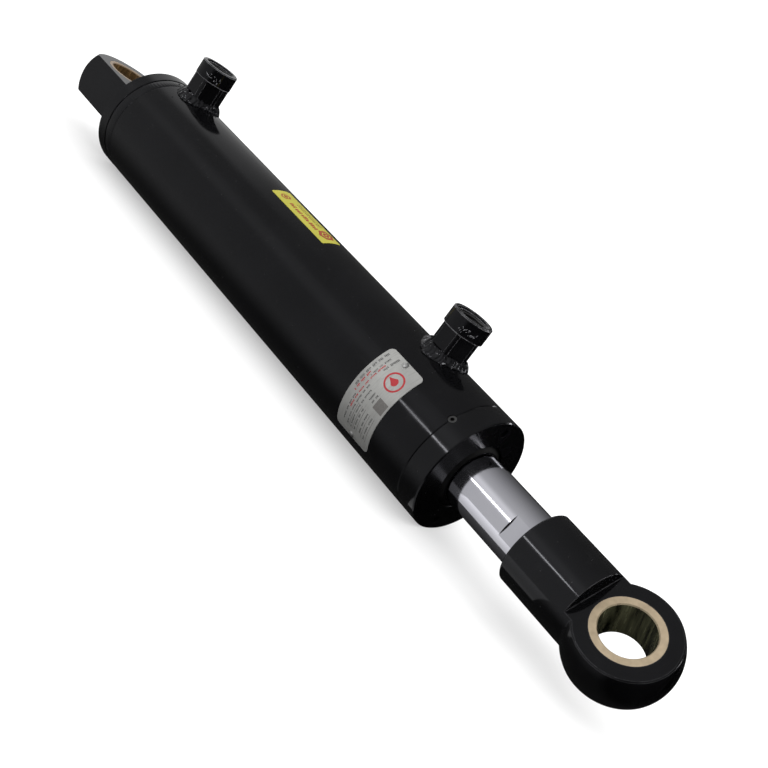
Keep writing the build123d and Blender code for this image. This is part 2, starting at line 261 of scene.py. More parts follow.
def black_enamel(name, base=0.0014, dusty=0.006, roughness=(0.07, 0.15), peel=0.12, worn_and_highlighted_edges=0.0,
                 painted_glints=0.0, dull_axis=None, shine=0.3):
    """Glossy black machine enamel: orange peel, slow changes of gloss and a little dust. base and dusty
    are its tones where clean and where grimy, and shine is how strongly it reflects. The edge argument
    is how far edges are painted pale grey, partly as rubbed wear and partly as a painted highlight along
    them; the glint argument is how far random specks on a weld are painted pale as painted glints; and
    faces square to dull_axis are less glossy."""
    s = Surface(name, Specular_IOR_Level=shine, Specular_Tint=ENAMEL_TINT)
    clouds = s.noise(28, 4)
    grime = s.noise(160, 5)
    dust = s.math("MULTIPLY", s.specks(420, 0.13), s.spread(grime, 0.55, 0.66))
    tone = s.blend(s.spread(clouds, 0.35, 0.7), (base, base, base * 1.15),
                   (base * 1.8, base * 1.8, base * 2.1))
    paint = s.blend(s.spread(grime, 0.6, 0.8, 0.0, 0.5), tone, (dusty, dusty, dusty))
    paint = s.blend(dust, paint, DUST_TONE)
    # Random specks painted pale: painted glints on the weld, standing in for highlights.
    if painted_glints:
        pale_specks = s.spread(s.noise(520, 3), 0.64, 0.68, 0.0, painted_glints)
        paint = s.blend(pale_specks, paint, PAINTED_GLINT_TONE)
    # Edges painted pale grey: partly rubbed wear, partly a painted highlight along the edges.
    if worn_and_highlighted_edges:
        patchy = s.spread(s.noise(300, 4), 0.3, 0.62, 0.15 * worn_and_highlighted_edges, worn_and_highlighted_edges)
        paint = s.blend(s.math("MULTIPLY", s.edges(EDGE_WEAR_AND_HIGHLIGHT_REACH), patchy), paint, EDGE_WEAR_AND_HIGHLIGHT_TONE)
    s.colour(paint)
    gloss = s.math("ADD", s.spread(clouds, 0.3, 0.7, *roughness), s.math("MULTIPLY", dust, 0.3))
    if dull_axis:
        gloss = s.math("ADD", gloss, s.spread(s.facing(dull_axis), 0.7, 0.95, 0.0, DULLING))
    s.rough(gloss)
    s.bump([(s.noise(520, 2), peel, 0.04 * MM), (s.noise(90, 2), peel, 0.12 * MM)], round_edges=0.5 * MM)
    return s.material


def hard_chrome():
    """Ground and polished chrome with fine rings around the rod and an oil film. Faces that look along the
    rod, such as the shoulders of the wrench flats, are painted near black as painted shade for their dark
    reflection."""
    s = Surface("hard_chrome", Metallic=1.0)
    rings = s.noise(900, 2, stretch=(3, 0.25, 0.25))
    film = s.noise(40, 3)
    # Faces along the rod are painted near black: painted shade on the wrench-flat shoulders.
    shoulders_painted_shade = s.spread(s.facing((1, 0, 0)), 0.7, 0.95)
    chrome = s.blend(s.spread(film, 0.3, 0.7), (0.85, 0.85, 0.93), (0.91, 0.91, 0.98))
    s.colour(s.blend(shoulders_painted_shade, chrome, (0.03, 0.03, 0.03)))
    s.rough(s.math("ADD", s.spread(rings, 0.35, 0.65, 0.08, 0.11), s.spread(film, 0.45, 0.8, 0.0, 0.06)))
    s.bump([(rings, 0.035, 0.01 * MM)])
    return s.material


def turned_steel(name, tint, roughness):
    """Bare steel with turning lines and a light stain."""
    s = Surface(name, Metallic=1.0)
    lines = s.noise(500, 3, stretch=(4, 0.4, 0.4))
    stain = s.noise(60, 4)
    dark = tuple(v * 0.6 for v in tint)
    s.colour(s.blend(s.spread(stain, 0.35, 0.7), tint, dark))
    s.rough(s.spread(lines, 0.3, 0.7, *roughness))
    s.bump([(lines, 0.3, 0.03 * MM)], round_edges=0.3 * MM)
    return s.material


def phosphated_steel():
    """Dark, grainy phosphate coating."""
    s = Surface("phosphated_steel", Metallic=0.6)
    grain = s.noise(900, 4)
    s.colour(s.blend(s.spread(grain, 0.3, 0.7), (0.03, 0.03, 0.032), (0.075, 0.07, 0.065)))
    s.rough(s.spread(grain, 0.3, 0.7, 0.45, 0.65))
    s.bump([(grain, 0.4, 0.04 * MM)], round_edges=0.3 * MM)
    return s.material


def cast_iron():
    """Turned iron with open pores."""
    s = Surface("piston_iron", Metallic=0.85)
    lines = s.noise(420, 3, stretch=(5, 0.5, 0.5))
    pits = s.noise(1400, 3)
    s.colour(s.blend(s.spread(pits, 0.35, 0.65), (0.2, 0.2, 0.2), (0.33, 0.32, 0.31)))
    s.rough(s.spread(lines, 0.3, 0.7, 0.3, 0.5))
    s.bump([(lines, 0.3, 0.03 * MM), (pits, 0.2, 0.03 * MM)], round_edges=0.3 * MM)
    return s.material


def bush_bronze(name, axis, end_tint, bore_tint, bore_oil_and_shade_tone):
    """Bronze bush: pale faced ends, and a darker oiled bore with fine marks drawn along its axis. The ends
    are also painted pale as lit faces and the bore painted dark as painted shade in the hole, and the
    bore's paler streaks are partly painted glints. The axis is square to X."""
    s = Surface(name, Metallic=0.45)
    ends = s.spread(s.facing(axis), 0.55, 0.8)
    s.turned_about_x(math.atan2(axis[1], axis[2]))
    mottle = s.noise(220, 4)
    drawn = s.noise(300, 3, stretch=(1, 1, 0.08))
    # Bore painted dark, partly oil and partly painted shade in the hole; its paler streaks are partly painted
    # glints. The ends are painted pale as lit faces.
    bore = s.blend(s.spread(drawn, 0.35, 0.65), bore_oil_and_shade_tone, bore_tint)
    face = s.blend(s.spread(mottle, 0.3, 0.75), end_tint, tuple(v * 0.72 for v in end_tint))
    s.colour(s.blend(ends, bore, face))
    s.rough(s.math("ADD", s.spread(drawn, 0.3, 0.7, 0.16, 0.3), s.math("MULTIPLY", ends, 0.14)))
    s.bump([(drawn, 0.25, 0.04 * MM), (mottle, 0.15, 0.03 * MM)], round_edges=0.3 * MM)
    return s.material


def moulded(name, dark, light, roughness, shine=0.5):
    """Moulded rubber or plastic with fine flow mottling."""
    s = Surface(name, Specular_IOR_Level=shine)
    mottle = s.noise(260, 5)
    grain = s.noise(1500, 2)
    s.colour(s.blend(s.spread(mottle, 0.3, 0.7), dark, light))
    s.rough(s.spread(mottle, 0.3, 0.7, roughness, roughness + 0.15))
    s.bump([(grain, 0.2, 0.03 * MM)])
    return s.material


def plate_foil():
    """Silvered plate: brushed along its long side, faintly clouded."""
    s = Surface("plate_foil", Metallic=0.45)
    brushed = s.noise(260, 4, stretch=(6, 0.5, 0.5))
    clouds = s.noise(55, 3)
    tint = s.blend(s.spread(clouds, 0.3, 0.7), (0.33, 0.33, 0.32), (0.41, 0.41, 0.395))
    s.colour(s.blend(s.spread(brushed, 0.5, 0.85, 0.0, 0.5), tint, (0.19, 0.19, 0.19)))
    s.rough(s.spread(brushed, 0.3, 0.7, 0.34, 0.5))
    s.bump([(brushed, 0.15, 0.02 * MM)])
    return s.material


def yellow_vinyl():
    """Printed vinyl: a slow drift from lemon to lime with dirt rubbed into the grain."""
    s = Surface("yellow_vinyl", Coat_Weight=0.25, Coat_Roughness=0.2)
    drift = s.noise(45, 3)
    rub = s.noise(480, 5)
    tint = s.blend(s.spread(drift, 0.3, 0.7), (0.3, 0.29, 0.018), (0.36, 0.33, 0.03))
    s.colour(s.blend(s.spread(rub, 0.55, 0.8, 0.0, 0.4), tint, (0.24, 0.25, 0.03)))
    s.rough(s.spread(rub, 0.3, 0.7, 0.35, 0.55))
    s.bump([(s.noise(900, 2), 0.12, 0.03 * MM)])
    return s.material


def ink(name, tint):
    """Printing ink, a little uneven in its cover."""
    s = Surface(name)
    cover = s.noise(1300, 3)
    s.colour(s.blend(s.spread(cover, 0.35, 0.75), tint, tuple(v * 1.35 + 0.01 for v in tint)))
    s.rough(s.spread(cover, 0.3, 0.7, 0.4, 0.6))
    return s.material


def scuffed_enamel():
    """Enamel that a punch has bruised: the black is broken by bright steel on the raised lines."""
    s = Surface("scuffed_enamel", Metallic=0.75)
    pale_specks = s.noise(1700, 3)
    s.colour(s.blend(s.spread(pale_specks, 0.38, 0.56), (0.03, 0.03, 0.035), (0.5, 0.5, 0.53)))
    s.rough(s.spread(pale_specks, 0.35, 0.6, 0.22, 0.4))
    s.bump([(pale_specks, 0.3, 0.05 * MM)])
    return s.material


# ---------------------------------------------------------------- mesh helpers

def make_piece(name, points, faces, material, body="barrel", smooth=True):
    """A mesh that rides on a body, with its outside faces turned outwards."""
    mesh = bpy.data.meshes.new(name)
    mesh.from_pydata(points, [], faces)
    mesh.materials.append(material)
    mesh.validate()
    shell = bmesh.new()
    shell.from_mesh(mesh)
    bmesh.ops.recalc_face_normals(shell, faces=shell.faces)
    shell.to_mesh(mesh)
    shell.free()
    piece = bpy.data.objects.new(name, mesh)
    bpy.context.scene.collection.objects.link(piece)
    for polygon in mesh.polygons:
        polygon.use_smooth = smooth
    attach(piece, body)
    return piece


def grid_faces(rows, columns, first=0, close_rows=False, close_columns=False):
    """Quads over points stored row after row."""
    faces = []
    for r in range(rows if close_rows else rows - 1):
        for c in range(columns if close_columns else columns - 1):
            here = first + r * columns
            above = first + ((r + 1) % rows) * columns
            following = (c + 1) % columns
            faces.append((here + c, here + following, above + following, above + c))
    return faces


def wobble(seed, harmonics, size):
    """A smooth wave that closes around a loop: a function of 0..1 made of a few seeded harmonics."""
    dice = random.Random(seed)
    terms = [(k, size * dice.uniform(0.4, 1.0) / math.sqrt(len(harmonics)), dice.uniform(0, 2 * math.pi))
             for k in harmonics]
    return lambda s: sum(a * math.sin(2 * math.pi * k * s + p) for k, a, p in terms)


BEAD_SECTION = 12
RIPPLE_BEND = 0.55
INNER_TOE_SHARE = 0.7
INNER_TOE_LAG = 0.37


def bead_mesh(stations, bulge, ripple, pitch, seed, uneven):
    """Closed weld bead. A station is (root, outer toe, inner toe); the face between the toes swells
    away from the root by bulge and carries crescent ripples, one for each pitch of its length. uneven
    is how much the bead's width wanders."""
    count = len(stations)
    length = sum((stations[i][1] - stations[i - 1][1]).length for i in range(count))
    ripples = max(8, round(length / pitch))
    shift = wobble(seed, (2, 3, 5, 8, 13), 0.9)
    lump = wobble(seed + 1, (3, 4, 7, 11, 17, 23), uneven)
    points = []
    for i, (root, outer, inner) in enumerate(stations):
        s = i / count
        size = 1 + lump(s)
        outer = root + (outer - root) * size
        inner = root + (inner - root) * (1 + INNER_TOE_SHARE * lump(s + INNER_TOE_LAG))
        away = ((outer + inner) / 2 - root).normalized()
        points.append(root)
        for k in range(BEAD_SECTION + 1):
            t = k / BEAD_SECTION
            crown = math.sin(math.pi * t)
            phase = ripples * s + shift(s) - RIPPLE_BEND * crown
            wave = abs(math.sin(math.pi * phase)) ** 0.7
            swell = bulge * crown ** 0.8 * size + ripple * wave * crown ** 0.5
            points.append(outer.lerp(inner, t) + away * swell)
    return points, grid_faces(count, BEAD_SECTION + 2, close_rows=True, close_columns=True)


DROP_HEIGHT = 0.85
DROP_SUNK = 0.15


def drop_mesh(spot, out, radius, seed, first):
    """A flattened drop of weld spatter on a spot, a little sunk in the surface."""
    dice = random.Random(seed)
    side = out.orthogonal().normalized()
    other = out.cross(side)
    points = []
    rings, segments = 5, 10
    for r in range(1, rings + 1):
        height = DROP_HEIGHT * math.cos(math.pi / 2 * r / rings) - DROP_SUNK
        spread = math.sin(math.pi / 2 * r / rings)
        for a in range(segments):
            angle = 2 * math.pi * a / segments
            reach = radius * spread * (1 + dice.uniform(-0.08, 0.08))
            points.append(spot + out * radius * height
                          + (side * math.cos(angle) + other * math.sin(angle)) * reach)
    faces = grid_faces(rings, segments, first, close_columns=True)
    points.append(spot + out * radius * (DROP_HEIGHT - DROP_SUNK))
    top = first + len(points) - 1
    faces += [(top, first + (a + 1) % segments, first + a) for a in range(segments)]
    faces.append(tuple(first + (rings - 1) * segments + a for a in range(segments)))
    return points, faces


def lathe_mesh(profile, place, segments, first):
    """A closed turned shape from (radius, height) points, about the Z axis of a matrix."""
    points = []
    for radius, height in profile:
        for a in range(segments):
            angle = 2 * math.pi * a / segments
            points.append(place @ Vector((radius * math.cos(angle), radius * math.sin(angle), height)))
    faces = grid_faces(len(profile), segments, first, close_columns=True)
    faces.append(tuple(first + a for a in range(segments)))
    faces.append(tuple(first + (len(profile) - 1) * segments + a for a in reversed(range(segments))))
    return points, faces


def wrapped_plate(x_ends, turns, inner, outer, corner):
    """A thin plate with rounded corners wrapped round the barrel, as a closed shell with a small
    chamfer around its face."""
    arc = (turns[1] - turns[0]) * outer
    corner_steps = 6
    spacing = 1.2 * MM
    offsets = [corner * (1 - math.cos(math.pi / 2 * k / corner_steps)) for k in range(corner_steps + 1)]
    straight = max(8, round(arc / spacing))
    middle = [corner + (arc - 2 * corner) * k / straight for k in range(1, straight)]
    along = offsets + middle + [arc - v for v in reversed(offsets)]
    across = 12
    chamfer = 0.25 * (outer - inner)
    points = []
    for radius, inset in ((inner, 0.0), (outer - chamfer, 0.0), (outer, chamfer)):
        for u in along:
            near = min(u, arc - u)
            shrink = 0.0
            if near < corner:
                shrink = corner - math.sqrt(max(0.0, corner ** 2 - (corner - near) ** 2))
            low = x_ends[0] + shrink + inset
            high = x_ends[1] - shrink - inset
            turn = turns[0] + (inset + u * (arc - 2 * inset) / arc) / outer
            points += [on_barrel(low + (high - low) * k / across, turn, radius) for k in range(across + 1)]
    rows, columns = len(along), across + 1
    layer = rows * columns
    faces = grid_faces(rows, columns, 2 * layer)
    faces += [tuple(reversed(f)) for f in grid_faces(rows, columns, 0)]
    rim = list(range(columns))
    rim += [r * columns + columns - 1 for r in range(1, rows)]
    rim += [(rows - 1) * columns + c for c in range(columns - 2, -1, -1)]
    rim += [r * columns for r in range(rows - 2, 0, -1)]
    for under in (0, layer):
        over = under + layer
        for a, b in zip(rim, rim[1:] + rim[:1]):
            faces.append((under + a, under + b, over + b, over + a))
    return points, faces


def wrapped_patches(patches, radius):
    """Thin raised rectangles of ink on the barrel: (x low, x high, turn low, turn high) each."""
    points, faces = [], []
    longest_step = math.radians(3)
    for x_low, x_high, turn_low, turn_high in patches:
        section = ((x_low, -INK_DEPTH), (x_low, INK_DEPTH), (x_high, INK_DEPTH), (x_high, -INK_DEPTH))
        steps = max(1, math.ceil((turn_high - turn_low) / longest_step))
        first = len(points)
        for k in range(steps + 1):
            turn = turn_low + (turn_high - turn_low) * k / steps
            points += [on_barrel(x, turn, radius + height) for x, height in section]
        faces += grid_faces(steps + 1, 4, first, close_columns=True)
        faces.append((first, first + 1, first + 2, first + 3))
        faces.append(tuple(first + 4 * steps + k for k in (3, 2, 1, 0)))
    return points, faces


def wrapped_band(outer, inner, x, turn, radius, first):
    """Ink between two closed outlines of (along the turn, along x) points, wrapped at (x, turn)."""
    count = len(outer)
    points = []
    for outline, height in ((outer, -INK_DEPTH), (outer, INK_DEPTH), (inner, INK_DEPTH), (inner, -INK_DEPTH)):
        points += [on_barrel(x + v, turn + u / radius, radius + height) for u, v in outline]
    return points, grid_faces(4, count, first, close_rows=True, close_columns=True)


def join(*meshes):
    """Meshes as one list of points and faces; a mesh is a function of its first point's number."""
    points, faces = [], []
    for mesh in meshes:
        more, shapes = mesh(len(points))
        points += more
        faces += shapes
    return points, faces


# ---------------------------------------------------------------- welds

def ring_weld(material):
    """The cap's weld: a machine-laid bead sunk in its groove."""
    half_width = 4.2 * MM
    toe_radius = tube_radius - 0.45 * MM
    root_radius = toe_radius - 2.5 * MM
    steps = 900
    stations = []
    for i in range(steps):
        turn = 2 * math.pi * i / steps
        stations.append((on_barrel(weld_ring_x, turn, root_radius),
                         on_barrel(weld_ring_x - half_width, turn, toe_radius),
                         on_barrel(weld_ring_x + half_width, turn, toe_radius)))
    points, faces = bead_mesh(stations, bulge=0.22 * MM, ripple=0.14 * MM, pitch=1.9 * MM, seed=3,
                              uneven=0.02)
    piece = make_piece("cap_weld_bead", points, faces, material)
    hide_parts("base_cap_weld")


def lug_weld(material):
    """The base eye's fillet weld, around the four sides of its lug."""
    leg = 4.0 * MM
    corner = 1.5 * MM
    corner_steps = 12
    spacing = 0.3 * MM
    outline = []
    for side_y, side_z, start in ((1, 1, 0), (-1, 1, 90), (-1, -1, 180), (1, -1, 270)):
        place = Vector((cap_back, side_y * (lug_half_width - corner), side_z * (lug_half_thickness - corner)))
        for k in range(corner_steps + 1):
            angle = math.radians(start + 90 * k / corner_steps)
            outline.append((place, Vector((0, math.cos(angle), math.sin(angle)))))
    stations = []
    for i, (place, out) in enumerate(outline):
        following, next_out = outline[(i + 1) % len(outline)]
        gap = ((following + next_out * corner) - (place + out * corner)).length
        parts = max(1, round(gap / spacing))
        for k in range(parts):
            aim = out.lerp(next_out, k / parts).normalized()
            wall = place.lerp(following, k / parts) + aim * corner
            stations.append((wall, wall + aim * leg, wall - Vector((leg, 0, 0))))
    points, faces = bead_mesh(stations, bulge=0.35 * MM, ripple=0.3 * MM, pitch=2.6 * MM, seed=11,
                              uneven=0.1)
    piece = make_piece("lug_weld_bead", points, faces, material)
    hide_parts("base_eye_weld")


def port_weld(end, material, seed):
    """Hand-laid fillet around a port, lumpy, with drops of spatter on the barrel beside it."""
    x = port_stations[end]
    wall = 12.5 * MM
    root = wall - 0.3 * MM
    reach = 16.2 * MM
    top = tube_radius + 3.6 * MM
    steps = 560
    small_drops = 8

    def on_skin(away, angle):
        """The barrel's surface, this far from the port's axis."""
        y = away * math.sin(angle)
        return Vector((x + away * math.cos(angle), y, math.sqrt(tube_radius ** 2 - y ** 2)))

    stations = []
    for i in range(steps):
        angle = 2 * math.pi * i / steps
        stations.append((on_skin(root, angle), on_skin(reach, angle),
                         Vector((x + wall * math.cos(angle), wall * math.sin(angle), top))))
    points, faces = bead_mesh(stations, bulge=0.35 * MM, ripple=0.4 * MM, pitch=3.0 * MM, seed=seed,
                              uneven=0.13)

    # a drop is (angle, distance from the port's axis, radius, lift); the first, large one sits on the fillet
    dice = random.Random(seed + 5)
    drops = [(math.radians(-31), 15.4 * MM, 1.0 * MM, 1.1 * MM)]
    for _ in range(small_drops):
        drops.append((dice.uniform(0, 2 * math.pi), dice.uniform(17.5, 24) * MM,
                      dice.uniform(0.3, 0.65) * MM, 0.0))
    for k, (angle, away, radius, lift) in enumerate(drops):
        spot = on_skin(away, angle)
        out = Vector((0, spot.y, spot.z)).normalized()
        more, shapes = drop_mesh(spot + out * lift, out, radius, seed + k, len(points))
        points += more
        faces += shapes
    piece = make_piece(f"{end}_port_bead", points, faces, material)
    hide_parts(f"{end}_port_weld")


# ---------------------------------------------------------------- ports

THREAD_RADIUS = 9.32 * MM
THREAD_PITCH = 1.5 * MM
THREAD_CREST = 0.8 * MM
THREAD_TURNS = 10
THREAD_STEPS = 48
THREAD_FOOT = 0.48
THREAD_TIP = 0.06
THREAD_RUNOUT = 20
THREAD_LEAST = 0.06


def port_thread(end, material):
    """The internal thread: one helical ridge that fades out over some steps at each end. Its foot and
    tip are half widths in pitches, and the least height keeps its end faces open."""
    x = port_stations[end]
    top = port_top - 2.0 * MM
    last = THREAD_TURNS * THREAD_STEPS
    points = []
    for i in range(last + 1):
        angle = 2 * math.pi * i / THREAD_STEPS
        z = top - THREAD_PITCH * i / THREAD_STEPS
        fade = max(THREAD_LEAST, min(1.0, i / THREAD_RUNOUT, (last - i) / THREAD_RUNOUT))
        crest = THREAD_RADIUS - THREAD_CREST * fade
        for r, lift in ((THREAD_RADIUS, THREAD_FOOT), (crest, THREAD_TIP),
                        (crest, -THREAD_TIP), (THREAD_RADIUS, -THREAD_FOOT)):
            points.append(Vector((x + r * math.cos(angle), r * math.sin(angle), z + lift * THREAD_PITCH)))
    faces = grid_faces(last + 1, 4, close_columns=True)
    faces.append((0, 1, 2, 3))
    faces.append(tuple(len(points) - k for k in (1, 2, 3, 4)))
    make_piece(f"{end}_port_thread", points, faces, material, smooth=False)


def port_marks(end, material, seed, low):
    """Punch strokes thrown up around the collar of a port, on the side that faces the plate."""
    x = port_stations[end]
    strokes, steps = 16, 6
    first_azimuth, sweep = -70, 48
    slants = (28, 36, -24, 12)
    ridge, sunk = 0.3 * MM, -0.05 * MM
    dice = random.Random(seed)
    points, faces = [], []
    for k in range(strokes):
        azimuth = math.radians(first_azimuth + sweep * k / (strokes - 1) + dice.uniform(-1.0, 1.0))
        z = low + dice.uniform(0, 3.6) * MM
        length = dice.uniform(1.0, 2.1) * MM
        slant = math.radians(dice.choice(slants))
        width = dice.uniform(0.24, 0.4) * MM
        first = len(points)
        for i in range(steps + 1):
            t = i / steps - 0.5
            swell = math.sqrt(max(0.0, 1 - (2 * t) ** 2))
            half = width * (0.15 + 0.85 * swell)
            for side, height in ((-1, sunk), (0, ridge * swell), (1, sunk)):
                turn = azimuth + (length * t * math.sin(slant) + side * half) / collar_radius
                reach = collar_radius + height
                points.append(Vector((x + reach * math.cos(turn), reach * math.sin(turn),
                                      z + length * t * math.cos(slant))))
        faces += grid_faces(steps + 1, 3, first, close_columns=True)
        faces.append((first, first + 1, first + 2))
        faces.append(tuple(first + 3 * steps + i for i in (2, 1, 0)))
    make_piece(f"{end}_port_marks", points, faces, material)


# ---------------------------------------------------------------- plate and label

PLATE_CORNER = 3.0 * MM
LABEL_CORNER = 0.8 * MM

# Print on the plate, in millimetres from its base edge and degrees from its top edge. A row is
# (place, height, first degree, last degree), and a panel is (near side, far side, first degree, last degree).
PLATE_ROWS = ((2.6, 1.5, 7, 45), (6.2, 1.0, 9, 30), (6.2, 1.0, 50, 76), (9.6, 1.5, 4, 20), (9.9, 1.0, 36, 78),
              (13.0, 1.0, 38, 78), (16.2, 1.1, 37, 47), (16.2, 1.1, 54, 76), (18.6, 1.1, 37, 47),
              (20.6, 1.1, 54, 76), (24.6, 1.0, 54, 76))
RED_ROWS = ((4.4, 1.3, 28, 48), (7.6, 1.0, 16, 62))
TABLE_LINES = (11.4, 14.6, 17.8, 22.2, 26.2)
TABLE_LINE_WIDTH = 0.25
CODE_PANEL = (20.6, 28.2, 36.6, 47)
MARK_PLACE, MARK_DEGREE = 19.5, 20
RIVET_DEGREE = 3.5
RIVET_PROFILE = ((1.9, 0.0), (1.95, 0.12), (1.8, 0.4), (1.4, 0.72), (0.85, 0.93), (0.3, 1.0), (0.05, 1.01))


def circle(radius, count=40):
    return [(radius * math.cos(2 * math.pi * k / count), radius * math.sin(2 * math.pi * k / count))
            for k in range(count)]


def hexagon(radius, steps=10):
    """A hexagon with several points along each side, so that it follows the barrel's curve."""
    corners = [Vector(corner) for corner in circle(radius, 6)]
    return [tuple(corners[k].lerp(corners[(k + 1) % 6], i / steps)) for k in range(6) for i in range(steps)]


def drop_outline(radius, count=48):
    """A falling drop: a circle drawn out to a point towards the barrel's base end."""
    outline = []
    for u, v in circle(radius, count):
        draw = max(0.0, -v / radius)
        outline.append((u * (1 - 0.55 * draw), v * (1 + 0.75 * draw ** 3)))
    return outline


def word_row(x, height, turn_low, turn_high, radius, dice):
    """Letter-like blocks along the turn, in word-long groups."""
    letter_gap = 0.28 * MM / radius
    word_gap = 1.2 * MM / radius
    patches = []
    turn = turn_low
    while turn < turn_high:
        for _ in range(dice.randint(3, 8)):
            wide = dice.uniform(0.28, 0.62) * MM / radius
            if turn + wide > turn_high:
                break
            tall = height * dice.choice((1.0, 1.0, 0.72))
            patches.append((x - height / 2, x - height / 2 + tall, turn, turn + wide))
            turn += wide + letter_gap
        turn += word_gap
    return patches


def name_plate(foil, dark_ink, red_ink, grey_ink, steel):
    """The plate with print that says nothing: rows of blocks, a table, a panel, a red mark, two rivets."""
    low, high = plate_low.x, plate_high.x
    start, end = plate_turns
    top = plate_top_radius
    points, faces = wrapped_plate((low, high), plate_turns, tube_radius, top, PLATE_CORNER)
    plate = make_piece("name_plate", points, faces, foil, smooth=False)
    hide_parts("nameplate")

    dice = random.Random(21)

    def turned(degree):
        return start + math.radians(degree)

    def rows(specs):
        patches = []
        for place, height, first, last in specs:
            patches += word_row(low + place * MM, height * MM, turned(first), turned(last), top, dice)
        return patches

    points, faces = wrapped_patches(rows(PLATE_ROWS), top)
    make_piece("plate_print", points, faces, dark_ink, smooth=False)

    panels = [(line, line + TABLE_LINE_WIDTH, 53, 77) for line in TABLE_LINES] + [CODE_PANEL]
    points, faces = wrapped_patches([(low + near * MM, low + far * MM, turned(first), turned(last))
                                     for near, far, first, last in panels], top)
    make_piece("plate_panel", points, faces, grey_ink, smooth=False)

    red = wrapped_patches(rows(RED_ROWS), top)
    mark_x, mark_turn = low + MARK_PLACE * MM, turned(MARK_DEGREE)
    drop = drop_outline(2.5 * MM)
    shapes = [(circle(6.2 * MM), circle(5.1 * MM)), (drop, [(u * 0.02, v * 0.02) for u, v in drop])]
    points, faces = join(lambda n: red, *[
        lambda n, o=outer, i=inner: wrapped_band(o, i, mark_x, mark_turn, top, n) for outer, inner in shapes])
    make_piece("plate_mark", points, faces, red_ink, smooth=False)

    rivet = [(r * MM, h * MM) for r, h in RIVET_PROFILE]
    places = []
    for turn in (turned(RIVET_DEGREE), end - math.radians(RIVET_DEGREE)):
        out = on_barrel(0, turn, 1)
        place = Matrix.Translation(on_barrel((low + high) / 2, turn, top - 0.05 * MM))
        places.append(place @ out.to_track_quat("Z", "Y").to_matrix().to_4x4())
    points, faces = join(*[lambda n, m=place: lathe_mesh(rivet, m, segments=28, first=n) for place in places])
    rivets = make_piece("plate_rivets", points, faces, steel)
    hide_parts("nameplate_pins")


def yellow_label(vinyl, orange_ink, brown_ink):
    """The label with print that says nothing: large letters, two rows of small print, two symbols."""
    low, high = label_low.x, label_high.x
    top = label_top_radius
    points, faces = wrapped_plate((low, high), label_turns, tube_radius, top, LABEL_CORNER)
    film = make_piece("label_film", points, faces, vinyl, smooth=False)
    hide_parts("yellow_label")

    dice = random.Random(8)
    letters = []
    letter_foot = math.radians(15.6)
    x = low + 15.0 * MM
    while x < high - 17.0 * MM:
        for _ in range(dice.randint(3, 5)):
            wide = dice.uniform(1.2, 1.8) * MM
            tall = math.radians(dice.choice((4.4, 4.4, 3.3)))
            letters.append((x, x + wide, letter_foot - tall, letter_foot))
            x += wide + 0.5 * MM
        x += 0.9 * MM
    small = []
    for degree in (3.2, 6.0):
        x = low + 16.0 * MM
        while x < high - 18.0 * MM:
            wide = dice.uniform(0.5, 0.9) * MM
            small.append((x, x + wide, math.radians(degree), math.radians(degree + 1.3)))
            x += wide + dice.choice((0.35, 0.35, 1.0)) * MM
    points, faces = wrapped_patches(letters, top)
    make_piece("label_letters", points, faces, orange_ink, smooth=False)
    points, faces = wrapped_patches(small, top)
    make_piece("label_small_print", points, faces, brown_ink, smooth=False)

    # a symbol is a hexagon with a ring in it: (place, degree, size, inner size over outer)
    symbols = ((low + 7.0 * MM, 11.5, 3.6 * MM, 0.72), (high - 8.5 * MM, 8.0, 5.6 * MM, 0.6))
    bands = []
    for x, degree, size, thin in symbols:
        turn = math.radians(degree)
        bands.append((hexagon(size), hexagon(size * thin), x, turn))
        bands.append((circle(size * 0.4, 24), circle(size * 0.12, 24), x, turn))
    points, faces = join(*[lambda n, b=band: wrapped_band(*b, top, n) for band in bands])
    make_piece("label_symbols", points, faces, orange_ink, smooth=False)


# ---------------------------------------------------------------- room

def make_floor():
    """A wide floor at the barrel's underside. It glows a little, so that it comes out white, and it is
    hidden from reflections and bounced light."""
    size = 6.0
    corners = [(x * size, y * size, -tube_radius) for x, y in ((-1, -1), (1, -1), (1, 1), (-1, 1))]
    mesh = bpy.data.meshes.new("floor")
    mesh.from_pydata(corners, [], [(0, 1, 2, 3)])
    s = Surface("floor_paper", Specular_IOR_Level=0.0)
    s.colour(s.blend(s.noise(3, 2), (0.48, 0.48, 0.48), (0.5, 0.5, 0.5)))
    s.rough(s.spread(s.noise(40, 3), 0.3, 0.7, 0.85, 0.95))
    s.shader.inputs["Emission Color"].default_value = (1, 1, 1, 1)
    s.shader.inputs["Emission Strength"].default_value = 0.42
    mesh.materials.append(s.material)
    floor = bpy.data.objects.new("floor", mesh)
    bpy.context.scene.collection.objects.link(floor)
    floor.visible_glossy = False
    floor.visible_diffuse = False


